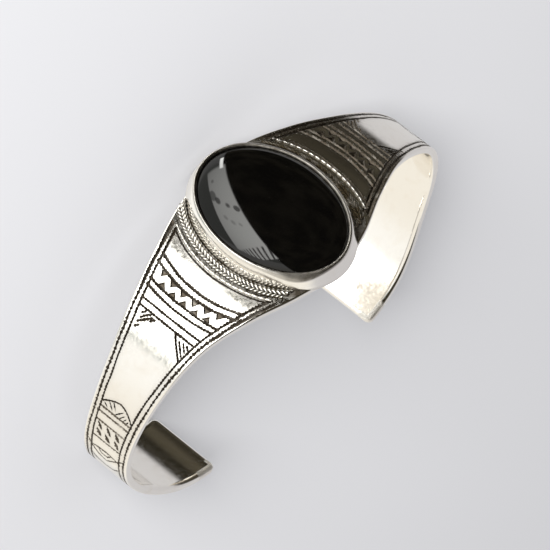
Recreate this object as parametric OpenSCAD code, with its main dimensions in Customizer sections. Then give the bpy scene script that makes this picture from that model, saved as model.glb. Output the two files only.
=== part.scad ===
// Open silver cuff with an oval black stone in a smooth bezel.
// It lies on its lower edge: the stone faces -Y and slightly up, the opening faces +Y.
// A place on the bent strip is [along, across, out] in millimetres: along from the middle
// of the front, + on the +X leg; across from the middle, + up; out from the outer face.

/* [Band] */
// Thickness of the silver strip
band_thickness = 1.2; // [0.9:0.1:2.2]
// Small bevel along both outer edges
edge_bevel = 0.25; // [0.1:0.05:0.5]
// How far in from each edge the inner face is eased off for the wrist
ease_width = 0.9; // [0.3:0.1:1.5]
// How deep that easing takes away the inner edges
ease_depth = 0.4; // [0.2:0.05:0.6]
// Radius of the four corners at the ends
end_corner = 0.9; // [0.5:0.1:3]

/* [Stone] */
// Long axis of the oval stone, across the band
stone_long = 22.2; // [18:0.1:26]
// Short axis of the oval stone, along the band
stone_short = 16.4; // [12:0.1:20]
// Height of the straight side of the stone
girdle_height = 0.8; // [0.5:0.1:2]
// Height of the dome above the straight side
dome_height = 2.9; // [1.5:0.1:4.5]
// Free space all round the stone in its seat
stone_clearance = 0.06; // [0.03:0.01:0.15]

/* [Bezel] */
// Height of the shoulder of the bezel above the front of the band
bezel_height = 2.1; // [1.2:0.1:3]
// How far the shoulder stands out from the stone
bezel_wall = 0.3; // [0.3:0.05:1]
// How much further out the foot of the wall stands
bezel_foot = 0.8; // [0.3:0.05:1.6]
// Height of the sloped lip above the shoulder
lip_rise = 0.25; // [0.2:0.05:0.8]
// How far the lip reaches in over the stone
lip_cover = 0.3; // [0.2:0.05:0.8]
// Height of the plate under the stone
seat_height = 0.4; // [0.2:0.05:0.8]

/* [Braid and ridge] */
// Width of each of the two twisted wires beside the bezel
wire_width = 0.55; // [0.4:0.05:0.9]
// Height of the twisted wires
wire_height = 0.35; // [0.2:0.05:0.6]
// Distance from one twist to the next
twist_pitch = 0.7; // [0.5:0.05:1.4]
// How far the two halves of the braid slant against each other, as a share of the pitch
twist_skew = 0.3; // [0:0.05:0.6]
// Distance of the ridge wire from the middle of the stone
ridge_reach = 11.2; // [10.8:0.1:12.5]
// Width of the ridge wire
ridge_width = 0.4; // [0.3:0.05:0.8]
// Height of the ridge wire
ridge_height = 0.22; // [0.15:0.01:0.5]
// Distance of the cut line outside the ridge wire from its middle
groove_gap = 0.45; // [0.3:0.05:1]

/* [Engraving] */
// Depth of the engraved lines
cut_depth = 0.2; // [0.1:0.05:0.35]
// Width of the bold line along each edge
bold_line = 0.45; // [0.3:0.05:0.7]
// Width of all other lines
fine_line = 0.36; // [0.2:0.02:0.5]
// Distance of the bold line from the edge of the band
bold_inset = 0.62; // [0.5:0.01:1.2]
// Distance of the second line from the edge of the band
fine_inset = 1.35; // [1:0.05:2.2]
// Number of dark triangles in each row of the zigzag
zigzag_teeth = 6; // [4:1:10]

/* [Hidden] */

// bends of the outer face from the middle of the front to the end
LENGTH = 0;
RADIUS = 1;
BENDS = [
    [9.57, 87.7],
    [24.89, 25.9],
    [12.96, 14.95],
    [20.78, 22.8]
];

// outline of the band, cut by hand: distance along, half the width of the +X and the -X leg,
// and how far the middle of each leg lies above the middle of the stone
ALONG = 0;
HALF = [1, 2];
LEAN = [3, 4];
TAPER = [
    [0, 11.1, 11.1, 0.3, 0.3],
    [6.3, 10.1, 10.1, 0, 0.05],
    [12.7, 8.05, 7.75, -0.35, -0.1],
    [19.7, 6.0, 5.5, -0.6, 0],
    [28.2, 4.5, 4.2, -0.25, 0.3],
    [38.1, 3.75, 3.35, 0.05, 0.45],
    [49.4, 4.0, 3.8, 0.2, 0.4],
    [62, 5.3, 5.7, 0.25, 0.65],
    [76, 5.5, 5.9, 0.25, 0.65]
];

// engraved lines that cross the band: distance along in the middle, and how much nearer at the edges
MIDDLE = 0;
BOW = 1;
CROSS_LINES = [
    [14.1, 1.3],
    [15.0, 1.1],
    [16.7, 0.5],
    [17.6, 0.5],
    [18.8, 0.1],
    [19.7, 0],
    [33.9, 0],
    [34.65, 0],
    [36.05, 0],
    [38.9, 0],
    [40.8, -0.5]
];
zigzag_from = CROSS_LINES[1];
zigzag_to = CROSS_LINES[2];
// dark triangles: length, half their base as a share of their spacing, gap to the lines and to the ends
tooth_length = 0.85;
tooth_half = 0.36;
tooth_gap = 0.12;
row_gap = 0.1;

// pointed arch of the end panel and its hatching: along, across
ARCH = [[33.3, -2.5], [32.6, -1.8], [32.1, -0.8], [31.9, 0], [32.1, 0.8], [32.6, 1.8], [33.3, 2.5]];
// hatching inside the arch: where each stroke starts across, and its two ends along
ARCH_HATCH = [1.5, 1.05, 0.6];
HATCH_BACK = 33.5;
HATCH_FRONT = 32.7;
hatch_lean = 0.2;
// short pointed dashes of the end panel: rows along, marks across
DASH_ROWS = [36.85, 38.05];
DASH_PLACES = [-1.5, 0, 1.5];
DASH = [0.9, 0.45];
dash_bold = 1.5;
// hatched triangles past the zigzag panel: where the strokes start and how far each runs
HATCH_START = 20.1;
HATCH_REACH = [2.3, 1.6, 0.9];
hatch_inner = 0.45;
hatch_apart = 0.2;
hatch_outer = 0.96;

// how far bevels, wires and cutters are set into the metal, and cutters stand clear of it
shoulder_round = 0.1;
foot_sink = 0.4;
strand_sink = 0.06;
strand_root = 0.3;
ridge_root = 0.15;
cutter_clear = 0.12;
pit_clear = 0.15;
seat_clear = 2;

SILVER = [0.86, 0.85, 0.83];
BLACK = [0.04, 0.04, 0.045];

leg = run_to(len(BENDS));
rim_a = stone_short / 2 + bezel_wall;
rim_b = stone_long / 2 + bezel_wall;
stone_base = seat_height + stone_clearance;
lip_angle = acos(1 - lip_cover / (stone_short / 2));
plain_end = 3;
lines_end = leg - plain_end;
lines_start = 9.7;

// how finely the long shapes are divided
LEG_STEPS = 47;
CORNER_STEP = 15;
EDGE_LINE_STEPS = 30;
BOWED_STEPS = 8;
STRAIGHT_STEPS = 2;
GROOVE_STEPS = 12;
RIDGE_STEPS = 14;
ARC_FROM = 5;
ARC_STEP = 0.1;
straight_bow = 0.2;

// length of the band up to bend i, and how far a bend turns
function turn(length, radius) = length / radius * 180 / PI;
function run_to(i) = i == 0 ? 0 : run_to(i - 1) + BENDS[i - 1][LENGTH];
function bend_at(s, i = 0) = i == len(BENDS) - 1 || s <= run_to(i + 1) ? i : bend_at(s, i + 1);

// outline of the outer face seen from above: x, y and turn
function step_on(p, length, radius) =
    let (b = p[2] + turn(length, radius))
    [p[0] + radius * (sin(b) - sin(p[2])), p[1] + radius * (cos(p[2]) - cos(b)), b];
function start_of(i) =
    i == 0 ? [0, 0, 0] : step_on(start_of(i - 1), BENDS[i - 1][LENGTH], BENDS[i - 1][RADIUS]);
STARTS = [for (i = [0:len(BENDS) - 1]) start_of(i)];
function outline(s) = let (i = bend_at(s)) step_on(STARTS[i], s - run_to(i), BENDS[i][RADIUS]);

// a place on the bent strip as a point in space
function place(p) =
    let (side = p[0] < 0 ? -1 : 1, q = outline(abs(p[0])))
    [side * (q[0] + p[2] * sin(q[2])), q[1] - p[2] * cos(q[2]), p[1]];

// smooth reading of one column of the outline table
function slope(c, i) =
    i == 0 || i == len(TAPER) - 1 ? 0
    : (TAPER[i + 1][c] - TAPER[i - 1][c]) / (TAPER[i + 1][ALONG] - TAPER[i - 1][ALONG]);
function row_at(x, i = 0) = i >= len(TAPER) - 2 || x < TAPER[i + 1][ALONG] ? i : row_at(x, i + 1);
function read(c, x) =
    let (i = row_at(x), d = TAPER[i + 1][ALONG] - TAPER[i][ALONG], u = (x - TAPER[i][ALONG]) / d)
    TAPER[i][c] * (1 + 2 * u) * pow(1 - u, 2) + slope(c, i) * d * u * pow(1 - u, 2)
    + TAPER[i + 1][c] * u * u * (3 - 2 * u) + slope(c, i + 1) * d * u * u * (u - 1);
function half_width(s) = read(HALF[s < 0 ? 1 : 0], abs(s));
function middle(s) = read(LEAN[s < 0 ? 1 : 0], abs(s));

// solid through a list of closed outlines with equal numbers of points
module skin(rings) {
    n = len(rings[0]);
    m = len(rings);
    points = [for (r = rings) for (p = r) p];
    sides = [for (i = [0:m - 2]) for (j = [0:n - 1])
        [i * n + j, i * n + (j + 1) % n, (i + 1) * n + (j + 1) % n, (i + 1) * n + j]];
    first = [for (j = [n - 1:-1:0]) j];
    last = [for (j = [0:n - 1]) (m - 1) * n + j];
    polyhedron(points, concat([first, last], sides), convexity = 8);
}

// the tapered strip, bent to an open oval, with rounded corners at its ends
tip_steps = [for (a = [90:-CORNER_STEP:0]) leg - end_corner + end_corner * sin(a)];
inner_steps = [for (i = [1:LEG_STEPS - 1]) (leg - end_corner) * i / LEG_STEPS];
leg_steps = concat([0], inner_steps, [for (i = [len(tip_steps) - 1:-1:0]) tip_steps[i]]);
band_steps = concat([for (i = [len(leg_steps) - 1:-1:1]) -leg_steps[i]], leg_steps);
function corner_cut(s) =
    let (d = abs(s) - leg + end_corner)
    d <= 0 ? 0 : end_corner - sqrt(max(0, end_corner * end_corner - d * d));
function band_section(s) =
    let (
        w = half_width(s) - corner_cut(s), b = edge_bevel, t = band_thickness,
        e = ease_width, d = ease_depth - t,
        upper = [[w - b, 0], [w, -b], [w, d], [w - e, -t]],
        lower = [[e - w, -t], [-w, d], [-w, -b], [b - w, 0]]
    )
    [for (q = concat(upper, lower)) place([s, middle(s) + q[0], q[1]])];
module band() {
    skin([for (s = band_steps) band_section(s)]);
}

// oval ring round the stone: growth of both half axes and height above the front
OVAL_STEPS = 60;
function oval(a, b, height) = [for (i = [0:OVAL_STEPS - 1])
    let (t = -i * 360 / OVAL_STEPS) [a * cos(t), -height, b * sin(t)]];
function face_y(x) = BENDS[0][RADIUS] - sqrt(pow(BENDS[0][RADIUS], 2) - x * x);
function foot_ring() = [for (p = oval(rim_a + bezel_foot, rim_b + bezel_foot, 0))
    [p[0], face_y(p[0]) + foot_sink * band_thickness, p[2]]];

// smooth wall with a sloped lip, and the plate that carries the stone
module bezel() {
    cover = bezel_wall + lip_cover;
    skin([
        foot_ring(),
        oval(rim_a, rim_b, bezel_height - shoulder_round),
        oval(rim_a - shoulder_round, rim_b - shoulder_round, bezel_height),
        oval(rim_a - cover, rim_b - cover, bezel_height + lip_rise)
    ]);
}

// polished oval dome with a flat base
DOME_STEPS = 12;
DOME_TOP = 86;
function dome_ring(a, g) = oval((stone_short / 2) * cos(a) + g, (stone_long / 2) * cos(a) + g,
    stone_base + girdle_height + dome_height * sin(a) + g);
dome_rings = concat(
    [oval(stone_short / 2, stone_long / 2, stone_base)],
    [for (i = [0:DOME_STEPS]) dome_ring(DOME_TOP * i / DOME_STEPS, 0)]
);
module cabochon() {
    skin(dome_rings);
}

// seat of the stone, open above the lip
module seat() {
    g = stone_clearance;
    opening = dome_ring(lip_angle, g);
    skin([
        oval(stone_short / 2 + g, stone_long / 2 + g, seat_height),
        dome_ring(0, g),
        dome_ring(lip_angle / 2, g),
        opening,
        [for (p = opening) [p[0], p[1] - seat_clear, p[2]]]
    ]);
}

// arc round the stone at the given reach, from edge line to edge line of one leg
function round_at(reach, v) = reach * sqrt(1 - pow(v / (reach + rim_b - rim_a), 2));
function inside(side, s, v, inset) = abs(v - middle(side * s)) < half_width(side * s) - inset;
function span_to(reach, side, e, v = ARC_FROM) =
    inside(side, round_at(reach, v), e * v, fine_inset) ? span_to(reach, side, e, v + ARC_STEP) : e * v;
function arc_round(reach, side, n) =
    let (low = span_to(reach, side, -1), high = span_to(reach, side, 1))
    [for (i = [0:n]) let (v = low + (high - low) * i / n) [side * round_at(reach, v), v]];

// one bulging strand of a twisted wire, slanted between two places
STRAND_SHARE = 0.45;
module strand(from, to) {
    m = (from + to) / 2;
    d = (to - from) / norm(to - from);
    n = [-d[1], d[0]] * twist_pitch * STRAND_SHARE;
    low = -strand_sink;
    points = [for (q = [
        [from[0], from[1], low], [to[0], to[1], low],
        [m[0] + n[0], m[1] + n[1], low], [m[0] - n[0], m[1] - n[1], low],
        [m[0], m[1], wire_height], [m[0], m[1], -strand_root]
    ]) place(q)];
    top = [[0, 2, 4], [4, 2, 1], [1, 3, 4], [4, 3, 0]];
    bottom = [[0, 5, 2], [2, 5, 1], [1, 5, 3], [3, 5, 0]];
    hull() polyhedron(points, concat(top, bottom));
}

// two wires twisted in opposite directions, side by side: a herringbone braid
ARC_OVER_CHORD = 1.14;
module braid(side) {
    for (row = [0, 1]) {
        reach = rim_a + bezel_foot + wire_width * (row + 0.5);
        span = span_to(reach, side, 1) - span_to(reach, side, -1);
        twists = floor(span * ARC_OVER_CHORD / twist_pitch);
        arc = arc_round(reach, side, twists);
        for (i = [1:twists - 1]) {
            ahead = (arc[i + 1] - arc[i - 1]) / 2;
            out = [ahead[1], -ahead[0]] / norm(ahead) * wire_width / 2;
            skew = ahead * (row == 0 ? twist_skew : -twist_skew);
            strand(arc[i] - out - skew, arc[i] + out + skew);
        }
    }
}

// strip with a three-point section along a path: a ridge where rise > 0, else a cutter for a line
ROOT_SPREAD = 1.2;
module bead_line(path, width, rise) {
    buried = rise > 0 ? -ridge_root : cutter_clear;
    reach = width / 2 * (rise > 0 ? ROOT_SPREAD : 1 - buried / rise);
    n = len(path);
    skin([for (i = [0:n - 1])
        let (
            d = path[min(i + 1, n - 1)] - path[max(i - 1, 0)],
            u = [-d[1], d[0]] / norm(d) * reach,
            p = path[i],
            a = place([p[0] + u[0], p[1] + u[1], buried]),
            b = place([p[0] - u[0], p[1] - u[1], buried]),
            c = place([p[0], p[1], rise])
        )
        rise > 0 ? [a, b, c] : [a, c, b]
    ]);
}

module line(path, width = fine_line) {
    bead_line(path, width, -cut_depth);
}

// paths that keep to the middle line of one leg
function on_leg(side, path) = [for (p = path) [side * p[0], p[1] + middle(side * p[0])]];
function edge_path(side, e, inset, n) = on_leg(side, [for (i = [0:n])
    let (s = lines_start + (lines_end - lines_start) * i / n) [s, e * (half_width(side * s) - inset)]]);
function cross_half(side, row) = half_width(side * (row[MIDDLE] - row[BOW])) - fine_inset;
function cross_at(side, row, v) = row[MIDDLE] - row[BOW] * pow(v / cross_half(side, row), 2);
function cross_path(side, row, n) =
    let (w = cross_half(side, row))
    on_leg(side, [for (i = [0:n]) let (v = w * (2 * i / n - 1)) [cross_at(side, row, v), v]]);

// dark triangle pressed into the face
module pit(corners) {
    skin([for (h = [-cut_depth, pit_clear]) [for (c = corners) place([c[0], c[1], h])]]);
}
module tooth(side, base, tip, v, half) {
    up = side * (tip - base) > 0 ? -half : half;
    pit(on_leg(side, [[base, v + up], [base, v - up], [tip, v]]));
}

// two rows of triangles that leave a bright zigzag between them
module zigzag(side) {
    w = cross_half(side, zigzag_to) - row_gap;
    step = 2 * w / zigzag_teeth;
    for (i = [0:zigzag_teeth - 1]) {
        v = -w + (i + 0.5) * step;
        near = cross_at(side, zigzag_from, v) + tooth_gap;
        tooth(side, near, near + tooth_length, v, step * tooth_half);
        if (i < zigzag_teeth - 1) {
            u = v + step / 2;
            far = cross_at(side, zigzag_to, u) - tooth_gap;
            tooth(side, far, far - tooth_length, u, step * tooth_half);
        }
    }
}

// short pointed dash of the end panel
module dash(side, s, v) {
    line(on_leg(side, [for (i = [-1:1]) [s + i * DASH[0] / 2, v + i * DASH[1]]]), fine_line * dash_bold);
}

// hatched triangle at one edge, past the zigzag panel
module hatching(side, e) {
    for (k = [0:len(HATCH_REACH) - 1]) {
        end = HATCH_START + HATCH_REACH[k];
        from = (hatch_inner + hatch_apart * k) * (half_width(side * HATCH_START) - fine_inset);
        to = hatch_outer * (half_width(side * end) - fine_inset);
        line(on_leg(side, [[HATCH_START, e * from], [end, e * to]]));
    }
}

// stroke of the hatching inside the arch
module arch_stroke(side, e, q) {
    front = HATCH_FRONT + q * hatch_lean;
    line(on_leg(side, [[HATCH_BACK, e * q], [front, e * (q + row_gap)]]));
}

// everything engraved on one leg
module engraving(side) {
    for (e = [-1, 1]) {
        line(edge_path(side, e, bold_inset, EDGE_LINE_STEPS), bold_line);
        line(edge_path(side, e, fine_inset, EDGE_LINE_STEPS));
        hatching(side, e);
        for (q = ARCH_HATCH) arch_stroke(side, e, q);
    }
    for (row = CROSS_LINES)
        line(cross_path(side, row, abs(row[BOW]) > straight_bow ? BOWED_STEPS : STRAIGHT_STEPS));
    line(arc_round(ridge_reach + groove_gap, side, GROOVE_STEPS));
    zigzag(side);
    line(on_leg(side, ARCH));
    for (s = DASH_ROWS) for (v = DASH_PLACES) dash(side, s, v);
}

// soldered silver: band, bezel, braids and ridge wires
module silverwork() {
    difference() {
        union() {
            band();
            bezel();
            for (side = [-1, 1]) {
                braid(side);
                bead_line(arc_round(ridge_reach, side, RIDGE_STEPS), ridge_width, ridge_height);
            }
        }
        for (side = [-1, 1]) engraving(side);
        seat();
    }
}

// rest on the lower edge: the foot of the bezel and both ends touch the ground
foot_low = [0, face_y(0) + foot_sink * band_thickness, -(rim_b + bezel_foot)];
outer_points = [for (s = band_steps) for (p = band_section(s)) p];
back_half = 10;
far_points = [for (p = outer_points) if (p[1] > back_half) p];
rest_tilt = min([for (p = far_points) atan((p[2] - foot_low[2]) / (p[1] - foot_low[1]))]);
function tilted(p) = [
    p[0],
    p[1] * cos(rest_tilt) + p[2] * sin(rest_tilt),
    p[2] * cos(rest_tilt) - p[1] * sin(rest_tilt)
];
ground = tilted(foot_low)[2];
front_y = min([for (r = dome_rings) for (p = r) tilted(p)[1]]);
back_y = max([for (p = outer_points) tilted(p)[1]]);

module at_rest() {
    translate([0, -(front_y + back_y) / 2, -ground]) rotate([-rest_tilt, 0, 0]) children();
}

module cuff() {
    color(SILVER) at_rest() silverwork();
}

module stone() {
    color(BLACK) at_rest() cabochon();
}

cuff();
stone();
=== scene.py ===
import math
import random

import bpy
import numpy as np
from mathutils import Matrix, Vector
from mathutils.geometry import delaunay_2d_cdt


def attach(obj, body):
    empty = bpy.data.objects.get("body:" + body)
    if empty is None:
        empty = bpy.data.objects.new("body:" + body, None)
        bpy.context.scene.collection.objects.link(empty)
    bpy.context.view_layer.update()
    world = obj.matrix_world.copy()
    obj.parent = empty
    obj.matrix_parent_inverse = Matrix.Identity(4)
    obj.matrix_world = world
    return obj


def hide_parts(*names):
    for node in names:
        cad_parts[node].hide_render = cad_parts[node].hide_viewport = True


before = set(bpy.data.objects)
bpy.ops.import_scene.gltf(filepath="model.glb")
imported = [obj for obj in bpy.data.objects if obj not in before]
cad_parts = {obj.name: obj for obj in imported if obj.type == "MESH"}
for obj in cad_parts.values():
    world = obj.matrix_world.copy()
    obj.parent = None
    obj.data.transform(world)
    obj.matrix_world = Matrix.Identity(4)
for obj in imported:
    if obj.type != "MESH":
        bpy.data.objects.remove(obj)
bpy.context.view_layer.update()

# An open silver cuff with an oval black stone, lying on its lower edge.
# Lengths are in millimetres until a piece is made; a place on the bent strip is (along, across, out),
# as in the part's source: along from the middle of the front, + on the +X leg; across upwards;
# out from the outer face.
MM = 0.001
dice = random.Random(7)

# Shape of the strip: length and radius of each bend, then its width and lean at places along a leg
BENDS = [(9.57, 87.7), (24.89, 25.9), (12.96, 14.95), (20.78, 22.8)]
LEG = sum(length for length, radius in BENDS)
TAPER_ALONG = [0, 6.3, 12.7, 19.7, 28.2, 38.1, 49.4, 62, 76]
TAPER = {
    "half +": [11.1, 10.1, 8.05, 6.0, 4.5, 3.75, 4.0, 5.3, 5.5],
    "half -": [11.1, 10.1, 7.75, 5.5, 4.2, 3.35, 3.8, 5.7, 5.9],
    "lean +": [0.3, 0, -0.35, -0.6, -0.25, 0.05, 0.2, 0.25, 0.25],
    "lean -": [0.3, 0.05, -0.1, 0, 0.3, 0.45, 0.4, 0.65, 0.65],
}
THICKNESS = 1.2
BEVEL = 0.25
EASE_WIDTH = 0.8
EASE_DEPTH = 0.4
END_CORNER = 0.9
# how far from the ends, and from the middle line, the upper edge is worn
WORN_LENGTH = 3.8
WORN_FADE = 0.3
WORN_ABOVE = 4

# Rest on the lower edge, as the part's source works it out
REST_TILT = math.radians(10.0862)
REST_SHIFT = (0.0, -17.8574, 12.0955)

# Stone and bezel
STONE_A = 8.2
STONE_B = 11.1
STONE_BASE = 0.46
GIRDLE = 0.8
DOME = 2.9
WALL = 0.3
RIM_A = STONE_A + WALL
RIM_B = STONE_B + WALL

# Braids and ridge wires
WIRE_TOP = 0.35
TWIST_PITCH = 0.55
LEG_ARC = 19.0
# how far the braids end from the upper and the lower edge
BRAID_INSETS = {1: (1.05, 0.3), -1: (1.15, 1.15)}
RIDGE_REACH = {1: 10.95, -1: 11.2}
RIDGE_WIDTH = 0.3
RIDGE_TOP = 0.22
RIDGE_BEAD = 0.92

# Engraving: widths of the two edge lines at distances along a leg
CUT_DEPTH = 0.17
LINE_ALONG = [9, 16, 20, 27, 70]
BOLD_LINE = [0.62, 0.58, 0.44, 0.36, 0.34]
FINE_LINE = [0.5, 0.43, 0.34, 0.28, 0.25]
# the bold line is thinned to this share at every third step, from this far along
DASHED_FROM = 18
DASH_GAP = 0.5
BOLD_INSET = 0.62
FINE_INSET = 1.35
LINES_START = 9.0
LINES_END = LEG - 3
EDGE_LINE_POINTS = 60
CROSS_LINE_POINTS = 17
CROSS_OVERSHOOT = 0.1
# lines across the leg: where they are on the middle line, and how much nearer the stone they end
CROSS_LINES = [
    (14.1, 1.3), (15.0, 1.1), (16.7, 0.5), (17.6, 0.5), (18.8, 0.1), (19.7, 0.0),
    (33.9, 0.0), (34.65, 0.0), (36.05, 0.0), (38.9, 0.0), (40.8, -0.5),
]
ZIGZAG_FROM = CROSS_LINES[1]
ZIGZAG_TO = CROSS_LINES[2]
ZIGZAG_TEETH = 6
ZIGZAG_MARGIN = 0.05
# triangles on each side of the zigzag: base to the left and right as shares of a step, and height
NEAR_TOOTH = (0.38, 0.4, 0.9)
FAR_TOOTH = (0.4, 0.36, 0.85)
TOOTH_LEAN = 0.12
TOOTH_GAP = 0.1
# the groove outside each ridge wire
GROOVE_BEYOND = 0.4
GROOVE_WIDTH = 0.26
GROOVE_RAGGED = 0.3


def outline(along):
    """Outer face seen from above: x, y and turn at each distance from the middle of the front."""
    a = np.abs(along)
    x, y, turn = np.zeros_like(a), np.zeros_like(a), np.zeros_like(a)
    start, x0, y0, turn0 = 0.0, 0.0, 0.0, 0.0
    for length, radius in BENDS:
        t = turn0 + (a - start) / radius
        here = a >= start
        x = np.where(here, x0 + radius * (np.sin(t) - math.sin(turn0)), x)
        y = np.where(here, y0 + radius * (math.cos(turn0) - np.cos(t)), y)
        turn = np.where(here, t, turn)
        turn1 = turn0 + length / radius
        x0 += radius * (math.sin(turn1) - math.sin(turn0))
        y0 += radius * (math.cos(turn0) - math.cos(turn1))
        start, turn0 = start + length, turn1
    return x, y, turn


def unit(vectors):
    return vectors / np.linalg.norm(vectors, axis=1)[:, None]


def left_of(ahead):
    """Unit vectors to the left of flat directions."""
    ahead = unit(ahead)
    return np.stack([-ahead[:, 1], ahead[:, 0]], 1)


def tip_over(v):
    """Turns directions from the strip's frame to the way the cuff rests."""
    c, s = math.cos(REST_TILT), math.sin(REST_TILT)
    return np.stack([v[:, 0], c * v[:, 1] + s * v[:, 2], c * v[:, 2] - s * v[:, 1]], 1)


def place(along, across, out):
    """Points of the bent strip in the CAD frame."""
    x, y, turn = outline(along)
    side = np.where(along < 0, -1.0, 1.0)
    p = np.stack([side * (x + out * np.sin(turn)), y - out * np.cos(turn), across + 0 * x], 1)
    return tip_over(p) + np.array(REST_SHIFT)


def strip_axes(along):
    """Unit vectors along, across and out of the strip."""
    x, y, turn = outline(along)
    side = np.where(along < 0, -1.0, 1.0)
    zero, one = np.zeros_like(turn), np.ones_like(turn)
    ahead = np.stack([np.cos(turn), side * np.sin(turn), zero], 1)
    outward = np.stack([side * np.sin(turn), -np.cos(turn), zero], 1)
    return tip_over(ahead), tip_over(np.stack([zero, zero, one], 1)), tip_over(outward)


def smooth_row(column, a):
    """Smooth reading of one row of the taper table."""
    xs, ys = np.array(TAPER_ALONG, float), np.array(TAPER[column], float)
    slopes = np.zeros_like(ys)
    slopes[1:-1] = (ys[2:] - ys[:-2]) / (xs[2:] - xs[:-2])
    i = np.clip(np.searchsorted(xs, a, side="right") - 1, 0, len(xs) - 2)
    d = xs[i + 1] - xs[i]
    u = (a - xs[i]) / d
    return (ys[i] * (1 + 2 * u) * (1 - u) ** 2 + slopes[i] * d * u * (1 - u) ** 2
            + ys[i + 1] * u * u * (3 - 2 * u) + slopes[i + 1] * d * u * u * (u - 1))


def taper(row, along):
    a = np.abs(along)
    return np.where(along < 0, smooth_row(row + " -", a), smooth_row(row + " +", a))


def half_width(along):
    return taper("half", along)


def middle(along):
    return taper("lean", along)


def value(function, along):
    return float(function(np.array([float(along)]))[0])


# Meshes

def make_piece(name, points, faces, look, normals=None):
    """A mesh object from points in millimetres; normals, where given, are one per face corner."""
    mesh = bpy.data.meshes.new(name)
    mesh.from_pydata((np.asarray(points) * MM).tolist(), [], faces)
    mesh.shade_smooth()
    if normals is not None:
        mesh.normals_split_custom_set(np.asarray(normals).tolist())
    piece = bpy.data.objects.new(name, mesh)
    bpy.context.scene.collection.objects.link(piece)
    mesh.materials.append(look)
    return piece


def mask(piece, name, values, domain="POINT"):
    layer = piece.data.attributes.new(name, "FLOAT", domain)
    layer.data.foreach_set("value", np.asarray(values, np.float32))


def ring_faces(rings, per_ring):
    """Quads between closed rings of equal length, looking outwards where rings run clockwise."""
    faces = []
    for i in range(rings - 1):
        for j in range(per_ring):
            k = (j + 1) % per_ring
            near, far = i * per_ring, (i + 1) * per_ring
            faces.append((near + j, near + k, far + k, far + j))
    return faces


# Engraved strokes: a path on the strip, half its width at each point, and how deep it is cut

def resample(path, step):
    path = np.asarray(path, float)
    gaps = np.linalg.norm(np.diff(path, axis=0), axis=1)
    run = np.concatenate([[0], np.cumsum(gaps)])
    count = max(2, int(round(run[-1] / step)) + 1)
    t = np.linspace(0, run[-1], count)
    return np.stack([np.interp(t, run, path[:, 0]), np.interp(t, run, path[:, 1])], 1)


def wander(count, amount, steps=9):
    """Slow random drift, as of a hand-held graver."""
    knots = [dice.uniform(-amount, amount) for k in range(count // steps + 3)]
    return np.interp(np.arange(count) / steps, np.arange(len(knots)), knots)


def to_segments(p, a, b):
    """Distance of each point to each segment from a to b, and how far along it is nearest."""
    ab = b - a
    t = np.clip(((p[:, None] - a) * ab).sum(-1) / (ab ** 2).sum(-1), 0, 1)
    return np.linalg.norm(p[:, None] - (a + ab * t[..., None]), axis=-1), t


class Stroke:
    """A line cut with a graver: its edges are notched and its ends may be pointed."""
    STEP = 0.23
    STEADY_POINTS = 4
    SHAKY = 0.05
    SWELL = 0.5
    SWELL_STEPS = 5
    NOTCH = (0.2, 1.3)
    END_WIDTH = 0.25

    def __init__(self, path, width, depth=CUT_DEPTH, ragged=0.38, pointed=0.0, dashed=False):
        p = resample(path, self.STEP)
        n = len(p)
        aside = left_of(np.gradient(p, axis=0))
        if n > self.STEADY_POINTS:
            p = p + aside * wander(n, self.SHAKY)[:, None]
        self.path = p
        swell = 1 + wander(n, ragged * self.SWELL, self.SWELL_STEPS)
        if pointed:
            ends = np.minimum(np.arange(n), np.arange(n)[::-1]) * self.STEP / pointed
            swell = swell * np.clip(self.END_WIDTH + ends, 0, 1)
        if dashed:
            lifted = (np.arange(n) % 3 == 0) & (np.abs(p[:, 0]) > DASHED_FROM)
            swell = np.where(lifted, DASH_GAP * swell, swell)
        if not np.isscalar(width):
            width = np.interp(np.abs(p[:, 0]), LINE_ALONG, width)
        self.half = width / 2 * swell
        self.depth = depth
        self.left = p + aside * (self.half * self.notched(n, ragged))[:, None]
        self.right = p - aside * (self.half * self.notched(n, ragged))[:, None]

    def notched(self, n, ragged):
        """Shares of the half width, out and in by turns."""
        return np.array([1 + ragged * (k % 2 * 2 - 1) * dice.uniform(*self.NOTCH) for k in range(n)])

    def loops(self):
        return [np.concatenate([self.left, self.right[::-1]])]

    def lines(self):
        return [self.path]

    def reach(self, p):
        """How deep the cut is at points p, and how far p lies outside it."""
        d, t = to_segments(p, self.path[:-1], self.path[1:])
        k = d.argmin(1)
        rows = np.arange(len(p))
        near = d[rows, k]
        half = self.half[k] + (self.half[k + 1] - self.half[k]) * t[rows, k]
        return self.depth * np.clip(1 - near / half, 0, 1), near - half

    def box(self):
        every = np.concatenate([self.left, self.right])
        return every.min(0), every.max(0)


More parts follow.
